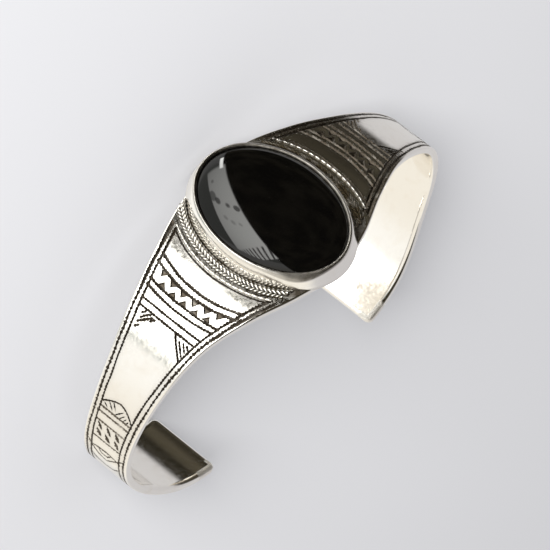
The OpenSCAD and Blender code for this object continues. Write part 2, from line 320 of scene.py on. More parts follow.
class Pit:
    """A flat-bottomed pit with straight sides, such as a pressed triangle."""
    SLOPE = 0.1
    CORNER_DRIFT = 0.05
    SIDE_PLACES = (0, 0.35, 0.7)
    SIDE_DRIFT = (-0.05, 0.04)
    FLOOR_SHARE = 0.5

    def __init__(self, corners, depth=CUT_DEPTH):
        c = np.asarray(corners, float)
        c = c + np.array([[dice.uniform(-self.CORNER_DRIFT, self.CORNER_DRIFT) for k in (0, 1)] for q in c])
        if np.cross(c[1] - c[0], c[2] - c[0]) < 0:
            c = c[::-1]
        self.depth = depth
        rim = []
        for i in range(len(c)):
            d = c[(i + 1) % len(c)] - c[i]
            n = np.array([d[1], -d[0]]) / np.linalg.norm(d)
            for t in self.SIDE_PLACES:
                rim.append(c[i] + d * t + n * (dice.uniform(*self.SIDE_DRIFT) if t else 0))
        self.rim = np.array(rim)
        self.floor = c.mean(0) + (c - c.mean(0)) * self.FLOOR_SHARE

    def loops(self):
        return [self.rim, self.floor]

    def lines(self):
        return []

    def reach(self, p):
        a, b = self.rim, np.roll(self.rim, -1, axis=0)
        edge = to_segments(p, a, b)[0].min(1)
        x, y = p[:, 0][:, None], p[:, 1][:, None]
        crosses = ((a[:, 1] > y) != (b[:, 1] > y)) & (
            x < (b[:, 0] - a[:, 0]) * (y - a[:, 1]) / (b[:, 1] - a[:, 1] + 1e-12) + a[:, 0])
        inside = crosses.sum(1) % 2 == 1
        depth = self.depth * np.clip(edge / self.SLOPE, 0, 1)
        return np.where(inside, depth, 0), np.where(inside, -edge, edge)

    def box(self):
        return self.rim.min(0), self.rim.max(0)


def on_leg(side, path):
    """A path given as (along, distance from the leg's middle line), put on one leg."""
    return [(side * s, v + value(middle, side * s)) for s, v in path]


def edge_line(side, edge, inset, width, dashed=False):
    s = np.linspace(LINES_START, LINES_END, EDGE_LINE_POINTS)
    v = edge * (half_width(side * s) - inset)
    return Stroke(on_leg(side, zip(s, v)), width, dashed=dashed)


def cross_half(side, row):
    return value(half_width, side * (row[0] - row[1])) - FINE_INSET


def cross_at(side, row, v):
    return row[0] - row[1] * (v / cross_half(side, row)) ** 2


def cross_line(side, row):
    w = cross_half(side, row) + CROSS_OVERSHOOT
    path = [(cross_at(side, row, v), v) for v in np.linspace(-w, w, CROSS_LINE_POINTS)]
    return Stroke(on_leg(side, path), FINE_LINE)


def zigzag(side):
    """Two rows of pressed triangles that leave a bright zigzag between them."""
    w = cross_half(side, ZIGZAG_TO) - ZIGZAG_MARGIN
    step = 2 * w / ZIGZAG_TEETH
    pits = []
    for i in range(ZIGZAG_TEETH):
        v = -w + (i + 0.5) * step
        near = cross_at(side, ZIGZAG_FROM, v) + TOOTH_GAP
        lean = dice.uniform(-TOOTH_LEAN, TOOTH_LEAN)
        left, right, height = NEAR_TOOTH
        pits.append([(near, v - step * left), (near, v + step * right), (near + height, v + lean)])
        if i < ZIGZAG_TEETH - 1:
            u = v + step / 2
            far = cross_at(side, ZIGZAG_TO, u) - TOOTH_GAP
            left, right, height = FAR_TOOTH
            pits.append([(far, u - step * left), (far, u + step * right), (far - height, u + lean)])
    return [Pit(on_leg(side, corners)) for corners in pits]


# Hand-cut marks, the same on both legs: along, distance from the middle line
ARCH = [
    (33.2, -2.65), (32.6, -1.8), (32.1, -0.85), (31.9, 0.05),
    (32.1, 0.75), (32.5, 1.45), (33.0, 2.05), (33.75, 2.65),
]
ARCH_HATCH = [
    [(33.1, -2.2), (33.55, -1.55)], [(32.6, -1.6), (33.5, -0.75)], [(32.3, -1.0), (33.1, -0.35)],
    [(32.7, 0.85), (33.75, -0.1)], [(33.0, 1.2), (33.8, 0.55)], [(33.2, 1.6), (33.85, 1.2)],
    [(33.4, 2.0), (33.9, 1.7)],
]
LOWER_HATCH = [
    [(20.45, -3.78), (19.79, -3.2)], [(21.06, -3.61), (20.37, -3.03), (19.81, -2.37)],
    [(21.69, -3.7), (20.91, -2.87), (20.02, -1.96)], [(20.74, -2.16), (20.04, -1.51)],
    [(22.34, -3.65), (21.74, -3.02)],
]
UPPER_HATCH = [[(20.23, 2.56), (21.9, 4.07)], [(20.13, 3.12), (21.26, 4.11)], [(20.15, 3.7), (20.78, 4.4)]]
UPPER_HATCH_EDGE = [(20.05, 1.74), (20.95, 2.52), (22.53, 4.02)]
UPPER_HATCH_CORNER = [(20.0, 4.25), (19.95, 4.7), (20.35, 4.7)]
DASH_PLACES = [(36.75, -1.55), (36.85, -0.1), (36.8, 1.35), (37.95, -1.5), (38.05, 0.0), (38.0, 1.5)]
DASH_HALF = (0.5, 0.42)
DASHES = [[(s + k * DASH_HALF[0], v + k * DASH_HALF[1]) for k in (-1, 0, 1)] for s, v in DASH_PLACES]
PETALS = [
    [(40.2, -3.0), (41.3, -2.2), (42.4, -1.0), (42.8, 0.3)],
    [(40.2, 3.0), (41.0, 2.2), (41.9, 1.2), (42.8, 0.3)],
    [(40.9, -1.2), (41.7, -0.6), (41.7, 0.4), (41.0, 1.0)],
    [(43.0, -2.6), (44.3, -1.6), (44.7, -0.2), (44.2, 1.4), (42.9, 2.6)],
]
# Kinds of mark: paths, width, raggedness, length of a pointed end, depth
HATCH_STROKES = [
    (LOWER_HATCH, 0.38, 0.38, 0.15, CUT_DEPTH),
    (UPPER_HATCH, 0.3, 0.38, 0.15, CUT_DEPTH),
    ([UPPER_HATCH_EDGE], 0.32, 0.2, 0.0, CUT_DEPTH),
]
END_STROKES = [
    ([ARCH], 0.24, 0.35, 0.0, CUT_DEPTH),
    (ARCH_HATCH, 0.2, 0.38, 0.4, CUT_DEPTH),
    (DASHES, 0.5, 0.38, 0.6, CUT_DEPTH),
    (PETALS, 0.24, 0.38, 0.6, 0.1),
]


def marks(side, kinds):
    cuts = []
    for paths, width, ragged, pointed, depth in kinds:
        cuts += [Stroke(on_leg(side, path), width, depth, ragged, pointed) for path in paths]
    return cuts


def engraving(side):
    cuts = []
    for edge in (-1, 1):
        cuts.append(edge_line(side, edge, BOLD_INSET, BOLD_LINE, dashed=True))
        cuts.append(edge_line(side, edge, FINE_INSET, FINE_LINE))
    cuts += marks(side, HATCH_STROKES)
    cuts.append(Pit(on_leg(side, UPPER_HATCH_CORNER)))
    cuts += [cross_line(side, row) for row in CROSS_LINES]
    cuts += zigzag(side)
    cuts += marks(side, END_STROKES)
    groove = arc_round(RIDGE_REACH[side] + GROOVE_BEYOND, side, EDGE_LINE_POINTS)
    cuts.append(Stroke(groove, GROOVE_WIDTH, ragged=GROOVE_RAGGED))
    return cuts


# Arcs round the stone, from edge line to edge line of one leg

ARC_HALF_LEAST = 5.0
ARC_STEP = 0.05
REACH_LIMITS = (0.1, 80.0)
REACH_HALVINGS = 24


def round_at(reach, v):
    return reach * math.sqrt(1 - (v / (reach + RIM_B - RIM_A)) ** 2)


def span_to(reach, side, edge, inset):
    """Where an arc meets the line that runs at a distance from the upper or the lower edge."""
    v = ARC_HALF_LEAST
    while True:
        s = side * round_at(reach, v)
        if abs(edge * v - value(middle, s)) >= value(half_width, s) - inset:
            return edge * v
        v += ARC_STEP


def arc_round(reach, side, count, inset=FINE_INSET, lower_inset=None):
    high = span_to(reach, side, 1, inset)
    low = span_to(reach, side, -1, inset if lower_inset is None else lower_inset)
    return [(side * round_at(reach, v), v) for v in np.linspace(low, high, count)]


def reach_of(p):
    """Half the short axis of the oval round the stone that passes through each place."""
    low, high = [np.full(len(p), limit) for limit in REACH_LIMITS]
    for step in range(REACH_HALVINGS):
        r = (low + high) / 2
        outside = (p[:, 0] / r) ** 2 + (p[:, 1] / (r + RIM_B - RIM_A)) ** 2 > 1
        low, high = np.where(outside, r, low), np.where(outside, high, r)
    return r


# Band

OUTLINE_STEP = 0.4
CORNER_FROM = 0.05
CORNER_POINTS = 9
# rows of points fill a face this far up and down, this share of a step apart; then the step on
# the outer and on the inner face, and how far the points stay from its outline
TALLEST = 12
ROW_SHARE = 0.87
OUTER_FILL = (0.5, 0.25)
INNER_FILL = (0.9, 0.4)
FAR_AWAY = 9.0
CUT_MARGIN = 0.8
POINTS_AT_ONCE = 3000
DUG_FROM = 0.012
# tarnish beside the cuts, less of it along the leg, and how it fades away from them
SMEAR_ALONG = [18, 26]
SMEAR = [0.45, 0.15]
SMEAR_FADE = 0.2
# tarnish round the braid by distance from the ridge wire
FROM_RIDGE = [-2.0, -0.9, -0.7, -0.55, -0.2, 0.1, 0.4, 0.8]
GRIME_ROUND = [1.0, 1.0, 0.5, 0.08, 0.05, 0.1, 0.35, 0.0]


def corner_cut(along):
    d = np.clip(np.abs(along) - LEG + END_CORNER, 0, END_CORNER)
    return END_CORNER - np.sqrt(END_CORNER ** 2 - d * d)


def band_outline():
    """Closed outline of the strip, laid flat, with its outward directions."""
    corner = LEG - END_CORNER + END_CORNER * np.sin(np.linspace(CORNER_FROM, math.pi / 2, CORNER_POINTS))
    s = np.concatenate([np.arange(0.0, LEG - END_CORNER, OUTLINE_STEP), corner])
    s = np.concatenate([-s[:0:-1], s])
    w = half_width(s) - corner_cut(s)
    upper = np.stack([s, middle(s) + w], 1)
    lower = np.stack([s, middle(s) - w], 1)
    ends = []
    for top, bottom in ((upper[-1], lower[-1]), (lower[0], upper[0])):
        count = int(abs(top[1] - bottom[1]) / OUTLINE_STEP)
        t = np.linspace(0, 1, count + 1)[1:-1][:, None]
        ends.append(top + (bottom - top) * t)
    loop = np.concatenate([upper, ends[0], lower[::-1], ends[1]])
    return loop, left_of(np.roll(loop, -1, axis=0) - np.roll(loop, 1, axis=0))


def inside_band(p, inset):
    return (np.abs(p[:, 1] - middle(p[:, 0])) < half_width(p[:, 0]) - corner_cut(p[:, 0]) - inset) & (
        np.abs(p[:, 0]) < LEG - inset)


def fill_points(step, inset):
    """Points spread over the strip, every other row shifted by half a step."""
    rows = []
    for i, v in enumerate(np.arange(-TALLEST, TALLEST, step * ROW_SHARE)):
        s = np.arange(-LEG, LEG, step) + (i % 2) * step / 2
        rows.append(np.stack([s, np.full_like(s, v)], 1))
    p = np.concatenate(rows)
    return p[inside_band(p, inset)]


def triangulate(loop, cuts, fill):
    """Triangles over the outline, with every stroke's edge and bottom line as edges of the mesh."""
    points, edges = [], []

    def add(line, closed):
        first = len(points)
        points.extend(line)
        n = len(line)
        edges.extend((first + i, first + (i + 1) % n) for i in range(n if closed else n - 1))

    add(loop, True)
    for cut in cuts:
        for line in cut.loops():
            add(line, True)
        for line in cut.lines():
            add(line, False)
    points.extend(fill)
    result = delaunay_2d_cdt([Vector(p) for p in points], edges, [], 0, 1e-5)
    flat = np.array([tuple(v) for v in result[0]])
    faces = np.array(result[2])
    centres = flat[faces].mean(1)
    return flat, faces[inside_loop(centres, loop)]


def inside_loop(p, loop):
    a, b = loop, np.roll(loop, -1, axis=0)
    inside = np.zeros(len(p), bool)
    for (x0, y0), (x1, y1) in zip(a, b):
        if y0 == y1:
            continue
        between = (y0 > p[:, 1]) != (y1 > p[:, 1])
        inside ^= between & (p[:, 0] < (x1 - x0) * (p[:, 1] - y0) / (y1 - y0) + x0)
    return inside


def cut_depths(cuts, p):
    """Deepest cut at each point, and the distance to the nearest cut."""
    depth = np.zeros(len(p))
    away = np.full(len(p), FAR_AWAY)
    for cut in cuts:
        low, high = cut.box()
        near = np.where((p > low - CUT_MARGIN).all(1) & (p < high + CUT_MARGIN).all(1))[0]
        for part in np.array_split(near, len(near) // POINTS_AT_ONCE + 1):
            if len(part):
                d, a = cut.reach(p[part])
                depth[part] = np.maximum(depth[part], d)
                away[part] = np.minimum(away[part], a)
    return depth, away


def face_outwards(points, faces, outward):
    """Turns round the triangles that look inwards, and gives each one's direction."""
    p = points[faces]
    slopes = np.cross(p[:, 1] - p[:, 0], p[:, 2] - p[:, 0])
    wrong = (slopes * outward[faces[:, 0]]).sum(1) < 0
    faces[wrong] = faces[wrong][:, ::-1]
    slopes[wrong] *= -1
    return slopes / np.maximum(np.linalg.norm(slopes, axis=1), 1e-12)[:, None]


def outer_face(loop, outward):
    """The engraved face, with every cut dug into it."""
    step, clear = OUTER_FILL
    cuts = engraving(1) + engraving(-1)
    flat, faces = triangulate(loop - outward * BEVEL, cuts, fill_points(step, BEVEL + clear))
    depth, away = cut_depths(cuts, flat)
    dug = cut_depths(cuts, flat[faces].mean(1))[0] > DUG_FROM
    points = place(flat[:, 0], flat[:, 1], -depth)
    out = strip_axes(flat[:, 0])[2]
    slopes = face_outwards(points, faces, out)
    normals = out[faces]
    normals[dug] = slopes[dug][:, None]
    ridge_reach = np.where(flat[:, 0] > 0, RIDGE_REACH[1], RIDGE_REACH[-1])
    round_braid = np.interp(reach_of(flat) - ridge_reach, FROM_RIDGE, GRIME_ROUND)
    smear = np.interp(np.abs(flat[:, 0]), SMEAR_ALONG, SMEAR)
    beside_cuts = smear * np.exp(-np.clip(away, 0, FAR_AWAY) / SMEAR_FADE)
    return {
        "points": points, "faces": faces.tolist(), "normals": normals.reshape(-1, 3),
        "cut": np.repeat(dug.astype(float), 3), "grime_and_shade": np.maximum(beside_cuts, round_braid),
        "wear": np.zeros(len(flat)),
    }


def edge_profile():
    """Inset, level and direction of each ring: the rounded outer edge, then the eased inner one."""
    rows = []
    for angle in map(math.radians, (90, 60, 30, 0)):
        c, s = math.cos(angle), math.sin(angle)
        rows.append((BEVEL * (1 - c), -BEVEL * (1 - s), (c, s)))
    for angle in map(math.radians, (0, -20, -40, -60, -75, -90)):
        c, s = math.cos(angle), math.sin(angle)
        lean = np.array([c / EASE_WIDTH, s / EASE_DEPTH])
        level = -THICKNESS + EASE_DEPTH * (1 + s)
        rows.append((EASE_WIDTH * (1 - c), level, lean / np.linalg.norm(lean)))
    return rows


def side_face(loop, outward):
    """The strip's side all round, worn smooth at the upper corners of the ends."""
    rings, ring_normals = [], []
    for inset, level, lean in edge_profile():
        q = loop - outward * inset
        ahead, across, out = strip_axes(q[:, 0])
        rings.append(place(q[:, 0], q[:, 1], level))
        turned = ahead * outward[:, :1] + across * outward[:, 1:]
        ring_normals.append(turned * lean[0] + out * lean[1])
    faces = ring_faces(len(rings), len(loop))
    normals = np.concatenate(ring_normals)[np.array(faces)]
    near_end = np.clip((np.abs(loop[:, 0]) - LEG + WORN_LENGTH) / WORN_FADE, 0, 1)
    worn = near_end * (loop[:, 1] - middle(loop[:, 0]) > WORN_ABOVE)
    return {
        "points": np.concatenate(rings), "faces": faces, "normals": normals.reshape(-1, 3),
        "cut": np.zeros(len(faces) * 4), "grime_and_shade": np.zeros(len(rings) * len(loop)),
        "wear": np.tile(worn, len(rings)),
    }


def inner_face(loop, outward):
    step, clear = INNER_FILL
    flat, faces = triangulate(loop - outward * EASE_WIDTH, [], fill_points(step, EASE_WIDTH + clear))
    points = place(flat[:, 0], flat[:, 1], -THICKNESS)
    inward = -strip_axes(flat[:, 0])[2]
    face_outwards(points, faces, inward)
    return {
        "points": points, "faces": faces.tolist(), "normals": inward[faces].reshape(-1, 3),
        "cut": np.zeros(len(faces) * 3), "grime_and_shade": np.zeros(len(flat)), "wear": np.zeros(len(flat)),
    }


def band(look):
    loop, outward = band_outline()
    patches = [outer_face(loop, outward), side_face(loop, outward), inner_face(loop, outward)]
    faces, first = [], 0
    for patch in patches:
        faces += [tuple(first + i for i in face) for face in patch["faces"]]
        first += len(patch["points"])
    columns = ("points", "normals", "cut", "grime_and_shade", "wear")
    whole = {column: np.concatenate([patch[column] for patch in patches]) for column in columns}
    piece = make_piece("band", whole["points"], faces, look, whole["normals"])
    mask(piece, "cut", whole["cut"], "CORNER")
    mask(piece, "grime_and_shade", whole["grime_and_shade"])
    mask(piece, "wear", whole["wear"])
    return piece


# Bezel and stone

OVAL_STEPS = 240
DOME_RINGS = 44


def oval_ring(growth, height, wave=None):
    """Ring round the stone: both half axes grown by the same amount, at a height above the front."""
    t = np.arange(OVAL_STEPS) * 2 * math.pi / OVAL_STEPS
    g = growth + (wave if wave is not None else 0)
    level = -np.broadcast_to(height, t.shape)
    return np.stack([(STONE_A + g) * np.cos(t), level, (STONE_B + g) * np.sin(t)], 1)


def front_height(x):
    """Height of the band's outer face below the middle of the front, as a negative number."""
    radius = BENDS[0][1]
    return -(radius - np.sqrt(radius ** 2 - x * x))


def settle(rings):
    return tip_over(np.concatenate(rings)) + np.array(REST_SHIFT)


# just under a full turn, in radians
FULL_TURN = 6.28


def waves(amount, counts):
    """Slight unevenness round the stone, as a rubbed-over bezel has."""
    t = np.arange(OVAL_STEPS) * 2 * math.pi / OVAL_STEPS
    total = np.zeros(OVAL_STEPS)
    for count in counts:
        total += amount / len(counts) * np.sin(count * t + dice.uniform(0, FULL_TURN))
    return total


# Profile of the bezel: growth from the stone's edge and height, as it is nearly all round,
# and where the lip was rubbed down in one flat
LIP = [
    (-0.3, 1.9), (-0.32, 2.07), (-0.24, 2.2), (-0.12, 2.3),
    (-0.01, 2.33), (0.1, 2.29), (0.2, 2.19), (0.28, 2.06),
]
LIP_FLAT = [
    (-0.3, 1.9), (-0.33, 2.08), (-0.24, 2.16), (-0.06, 2.12),
    (0.14, 1.99), (0.33, 1.83), (0.5, 1.66), (0.62, 1.4),
]
WALL_DOWN = [(0.35, 1.93), (0.46, 1.62), (0.58, 1.25), (0.7, 0.9), (0.8, 0.56), (0.9, 0.28), (1.0, 0.05)]
WALL_FLAT = [(0.66, 1.08), (0.7, 0.96), (0.76, 0.8), (0.81, 0.62), (0.87, 0.42), (0.93, 0.22), (1.0, 0.05)]
FOOT_RING = (1.04, 0.25)
# where the flat is, in degrees round the oval from +X
FLAT_AT = 52
FLAT_SPREAD = 17
UNEVEN = 0.045
UNEVEN_WAVES = (2, 3, 5, 8, 13)
UNEVEN_HEIGHT = 0.6
# darkness of each ring, as it is nearly all round and where it is darkest; on the lip this is
# painted shade standing in for dark reflections, with some dirt where the lip meets the stone;
# on the wall, beside the braid, it is grime
LIP_GRIME_AND_SHADE = [1, 1, 1, 0.97, 0.85, 0.45, 0.2, 0.1]
LIP_GRIME_AND_SHADE_FLAT = [1, 1, 1, 0.95, 0.9, 0.85, 0.9, 1.0]
DARK_AT = 62
DARK_SPREAD = 32
WALL_GRIME = [0, 0, 0, 0, 0, 0, 0.3, 0.6]


def bezel(look):
    turn = np.degrees(np.arange(OVAL_STEPS) * 2 * math.pi / OVAL_STEPS)
    flat = np.exp(-((turn - FLAT_AT) / FLAT_SPREAD) ** 2)
    uneven = waves(UNEVEN, UNEVEN_WAVES)
    rings = []
    for (growth, height), (flat_growth, flat_height) in zip(LIP + WALL_DOWN, LIP_FLAT + WALL_FLAT):
        g = growth + (flat_growth - growth) * flat
        h = height + (flat_height - height) * flat + UNEVEN_HEIGHT * uneven
        ring = oval_ring(g, h, uneven)
        # from the third ring of the wall down, the wall follows the bend of the band
        settled = np.clip(1 - h / WALL_DOWN[2][1], 0, 1)
        ring[:, 1] -= front_height(ring[:, 0]) * settled
        rings.append(ring)
    foot = oval_ring(FOOT_RING[0], 0)
    foot[:, 1] = -front_height(foot[:, 0]) + FOOT_RING[1]
    rings.append(foot)
    piece = make_piece("bezel", settle(rings), ring_faces(len(rings), OVAL_STEPS), look)
    # painted shade on the bezel's lip, darkest round DARK_AT
    dark = np.exp(-((turn - DARK_AT) / DARK_SPREAD) ** 2)
    grime_and_shade = [a + (b - a) * dark for a, b in zip(LIP_GRIME_AND_SHADE, LIP_GRIME_AND_SHADE_FLAT)]
    beside_braid = np.abs(np.cos(np.radians(turn)))
    grime_and_shade += [a * beside_braid for a in WALL_GRIME]
    mask(piece, "grime_and_shade", np.concatenate(grime_and_shade))
    return piece


def stone(look):
    rings = [oval_ring(0, STONE_BASE), oval_ring(0, STONE_BASE + GIRDLE)]
    for i in range(1, DOME_RINGS):
        a = math.pi / 2 * i / DOME_RINGS
        shrink = math.cos(a)
        ring = oval_ring(0, STONE_BASE + GIRDLE + DOME * math.sin(a))
        ring[:, 0] *= shrink
        ring[:, 2] *= shrink
        rings.append(ring)
    middles = np.array([[0, -(STONE_BASE + GIRDLE + DOME), 0], [0, -STONE_BASE, 0]])
    points = np.concatenate([settle(rings), settle([middles])])
    faces = ring_faces(len(rings), OVAL_STEPS)
    top, bottom = len(points) - 2, len(points) - 1
    last = (len(rings) - 1) * OVAL_STEPS
    for j in range(OVAL_STEPS):
        k = (j + 1) % OVAL_STEPS
        faces.append((last + j, last + k, top))
        faces.append((k, j, bottom))
    return make_piece("stone_cabochon", points, faces, look)


# Wires

# the tops of the wires are worn flat above this height, by this share of what stood above it
FILED_AT = 0.3
FILED_SHARE = 0.5
# spacing of the rings along a wire, points in a ring, and points of the arc that it follows
STRAND_STEP = 0.06
STRAND_SIDES = 8
STRAND_ARC = 160
RIDGE_STEP = 0.07
RIDGE_SIDES = 10
RIDGE_ARC = 120
# how much less than half the wire's height a strand rises and falls, how far it is sunk, how much
# wider it is than a quarter of the pair, and how flat it is
STRAND_RISE_LESS = 0.11
STRAND_SUNK = 0.02
STRAND_OVERLAP = 1.04
STRAND_FLATTENED = 0.85


def wire_axes(centre, path):
    """Unit vectors aside from a wire and up from the band, at each point of its middle line."""
    line = unit(np.gradient(centre, axis=0))
    aside = unit(np.cross(strip_axes(path[:, 0])[2], line))
    return aside, np.cross(line, aside)


def tube(centres, axes_a, axes_b, radii, levels, sides):
    """Rings of points round a line of centres, and how high each point stands above the band."""
    t = np.arange(sides) * 2 * math.pi / sides
    ring = (axes_a[:, None] * (np.cos(t)[None, :, None] * radii[0][:, None, None])
            + axes_b[:, None] * (np.sin(t)[None, :, None] * radii[1][:, None, None]))
    heights = levels[:, None] + np.sin(t)[None, :] * radii[1][:, None]
    filed = np.maximum(heights - FILED_AT, 0) * FILED_SHARE
    points = centres[:, None] + ring - axes_b[:, None] * filed[..., None]
    return points.reshape(-1, 3), heights.reshape(-1)


def closed_tube_faces(rings, sides, first):
    faces = [tuple(first + i for i in f) for f in ring_faces(rings, sides)]
    faces.append(tuple(first + i for i in range(sides))[::-1])
    faces.append(tuple(first + (rings - 1) * sides + i for i in range(sides)))
    return faces


def strands(arc, width, turns):
    """Two strands wound round each other along an arc on the strip."""
    path = resample(arc, STRAND_STEP)
    n = len(path)
    aside = left_of(np.gradient(path, axis=0))
    swing = width / 4
    rise = WIRE_TOP / 2 - STRAND_RISE_LESS
    thick = width / 4 * STRAND_OVERLAP
    tall = min(thick * STRAND_FLATTENED, WIRE_TOP / 2 - STRAND_SUNK)
    pieces = []
    for k in (0, 1):
        phase = 2 * math.pi * turns * np.arange(n) / n + k * math.pi
        p = path + aside * (swing * np.cos(phase))[:, None]
        level = WIRE_TOP / 2 - STRAND_SUNK + rise * np.sin(phase)
        centre = place(p[:, 0], p[:, 1], level)
        radii = (np.full(n, thick), np.full(n, tall))
        pieces.append((centre, *wire_axes(centre, p), radii, level))
    return pieces


# how dark the wires are at each height above the band
WIRE_SHADE_HEIGHT = [0.15, 0.25, 0.32]
WIRE_SHADE = [1.0, 0.8, 0.0]
# The twisted wires of a braid: distance of their middle from the bezel's rim, width, way they
# are twisted, and the least darkness on the near leg and on the far leg: next to the bezel wall
# this is painted shade, and on the far leg it is painted shade together with tarnish
BRAID_ROWS = [(0.86, 0.28, 1, 0.6, 0.95), (1.24, 0.58, 1, 0.0, 0.93), (1.72, 0.5, -1, 0.1, 0.93)]


def braid(name, side, look):
    """Wires twisted in opposite directions, side by side."""
    points, faces, tarnish_and_shade = [], [], []
    first = 0
    crossings = LEG_ARC / (2 * TWIST_PITCH)
    for out, width, hand, bright, far_tarnish_and_shade in BRAID_ROWS:
        arc = arc_round(RIM_A + out, side, STRAND_ARC, *BRAID_INSETS[side])
        for strand in strands(arc, width, hand * side * crossings):
            ring, heights = tube(*strand, STRAND_SIDES)
            points.append(ring)
            shade = np.interp(heights, WIRE_SHADE_HEIGHT, WIRE_SHADE)
            # on the far leg the wires are darkened all over: painted shade together with tarnish
            tarnish_and_shade.append(np.maximum(shade, bright if side > 0 else far_tarnish_and_shade))
            faces += closed_tube_faces(len(ring) // STRAND_SIDES, STRAND_SIDES, first)
            first += len(ring)
    piece = make_piece(name, np.concatenate(points), faces, look)
    mask(piece, "tarnish_and_shade", np.concatenate(tarnish_and_shade))
    return piece


# Ridge wires: how far they run past the fine line, the level of their middle, the shape of a bead,
# how much of the width and of the height stands between beads, and how far each side's nicks go dark
RIDGE_PAST_LINE = 0.1
RIDGE_LEVEL = 0.02
BEAD_ROUND = 0.6
BEAD_WAIST = (0.75, 0.78)
NICK_FROM = {1: 0.8, -1: 1.25}
NICK_FADE = 1.25
RIDGE_SHADE_HEIGHT = [0.02, 0.12]


def ridge(name, side, look):
    """Thin beaded wire on the outer side of the braid."""
    arc = arc_round(RIDGE_REACH[side], side, RIDGE_ARC, FINE_INSET - RIDGE_PAST_LINE)
    path = resample(arc, RIDGE_STEP)
    n = len(path)
    run = np.arange(n) * RIDGE_STEP
    bead = np.abs(np.cos(math.pi * run / RIDGE_BEAD)) ** BEAD_ROUND
    wide, tall = [waist + (1 - waist) * bead for waist in BEAD_WAIST]
    centre = place(path[:, 0], path[:, 1], np.full(n, RIDGE_LEVEL))
    radii = (RIDGE_WIDTH / 2 * wide, (RIDGE_TOP - RIDGE_LEVEL) * tall)
    ring, heights = tube(centre, *wire_axes(centre, path), radii, np.full(n, RIDGE_LEVEL), RIDGE_SIDES)
    piece = make_piece(name, ring, closed_tube_faces(n, RIDGE_SIDES, 0), look)
    nick = np.repeat(np.clip(NICK_FROM[side] - bead * NICK_FADE, 0, 1), RIDGE_SIDES)
    foot = np.interp(heights, RIDGE_SHADE_HEIGHT, [1.0, 0.0])
    mask(piece, "tarnish_and_shade", np.maximum(nick, foot))
    return piece


# Materials

def new_material(name):
    look = bpy.data.materials.new(name)
    look.use_nodes = True
    return look, look.node_tree.nodes, look.node_tree.links, look.node_tree.nodes["Principled BSDF"]


def put(nodes, kind, inputs=None, **settings):
    node = nodes.new(kind)
    for key, item in settings.items():
        setattr(node, key, item)
    for key, item in (inputs or {}).items():
        node.inputs[key].default_value = item
    return node


def ranged(nodes, links, given, start, end, low, high, kind="LINEAR"):
    """The given value's stretch from start to end, brought to low to high."""
    limits = {"From Min": start, "From Max": end, "To Min": low, "To Max": high}
    node = put(nodes, "ShaderNodeMapRange", limits, interpolation_type=kind)
    links.new(given, node.inputs["Value"])
    return node.outputs["Result"]


def socket(group, name, where, default=None):
    item = group.interface.new_socket(name=name, in_out=where, socket_type="NodeSocketFloat")
    if default is not None:
        item.default_value = default


def hand_polish_group():
    """Slow hammer waves, fine polishing scratches, and a cloudy mask."""
    group = bpy.data.node_groups.new("hand_polish", "ShaderNodeTree")
    socket(group, "Wave size", "INPUT", 90.0)
    socket(group, "Scratch size", "INPUT", 2200.0)
    socket(group, "Waves", "OUTPUT")
    socket(group, "Scratches", "OUTPUT")
    socket(group, "Cloud", "OUTPUT")
    nodes, links = group.nodes, group.links
    given = nodes.new("NodeGroupInput")
    result = nodes.new("NodeGroupOutput")
    place_on = nodes.new("ShaderNodeTexCoord")
    wave = put(nodes, "ShaderNodeTexNoise", {"Detail": 0.0, "Roughness": 0.4})
    links.new(place_on.outputs["Object"], wave.inputs["Vector"])
    links.new(given.outputs["Wave size"], wave.inputs["Scale"])
    links.new(wave.outputs["Fac"], result.inputs["Waves"])
    stretch = put(nodes, "ShaderNodeMapping", {"Rotation": (0.2, 0.5, 0.9), "Scale": (1.0, 0.07, 1.0)})
    links.new(place_on.outputs["Object"], stretch.inputs["Vector"])
    fine = put(nodes, "ShaderNodeTexNoise", {"Detail": 3.0, "Roughness": 0.6})
    links.new(stretch.outputs["Vector"], fine.inputs["Vector"])
    links.new(given.outputs["Scratch size"], fine.inputs["Scale"])
    links.new(fine.outputs["Fac"], result.inputs["Scratches"])
    cloud = put(nodes, "ShaderNodeTexNoise", {"Scale": 600.0, "Detail": 4.0, "Roughness": 0.65})
    links.new(place_on.outputs["Object"], cloud.inputs["Vector"])
    links.new(cloud.outputs["Fac"], result.inputs["Cloud"])
    return group


BRIGHT_SILVER = (0.93, 0.905, 0.865, 1.0)
WARM_SILVER = (0.8, 0.72, 0.6, 1.0)
# dark tone for blackened cuts and tarnish, also used for the painted shade on the bezel's lip
BLACKENED_AND_SHADED = (0.095, 0.079, 0.062, 1.0)
# dark tone of the wires' tarnish, also used for their painted shade
WIRE_TARNISH_AND_SHADE = (0.08, 0.062, 0.038, 1.0)
DULL_ROUGHNESS = 0.5
WORN_ROUGHNESS = 0.62
SCRATCH_DEPTH = 0.002


def blackening_and_shade(nodes, links, cloud, tarnish_and_shade):
    """The strongest of the named masks at their strengths, a little patchy."""
    dark = None
    for attribute, strength in tarnish_and_shade:
        read = put(nodes, "ShaderNodeAttribute", attribute_name=attribute)
        scaled = put(nodes, "ShaderNodeMath", {1: strength}, operation="MULTIPLY")
        links.new(read.outputs["Fac"], scaled.inputs[0])
        if dark:
            both = put(nodes, "ShaderNodeMath", operation="MAXIMUM")
            links.new(dark, both.inputs[0])
            links.new(scaled.outputs[0], both.inputs[1])
            dark = both.outputs[0]
        else:
            dark = scaled.outputs[0]
    patchy = ranged(nodes, links, cloud, 0.3, 0.62, 0.25, -0.12)
    patched = put(nodes, "ShaderNodeMath", operation="MULTIPLY_ADD", use_clamp=True)
    links.new(dark, patched.inputs[0])
    links.new(patchy, patched.inputs[1])
    links.new(dark, patched.inputs[2])
    return patched.outputs[0]


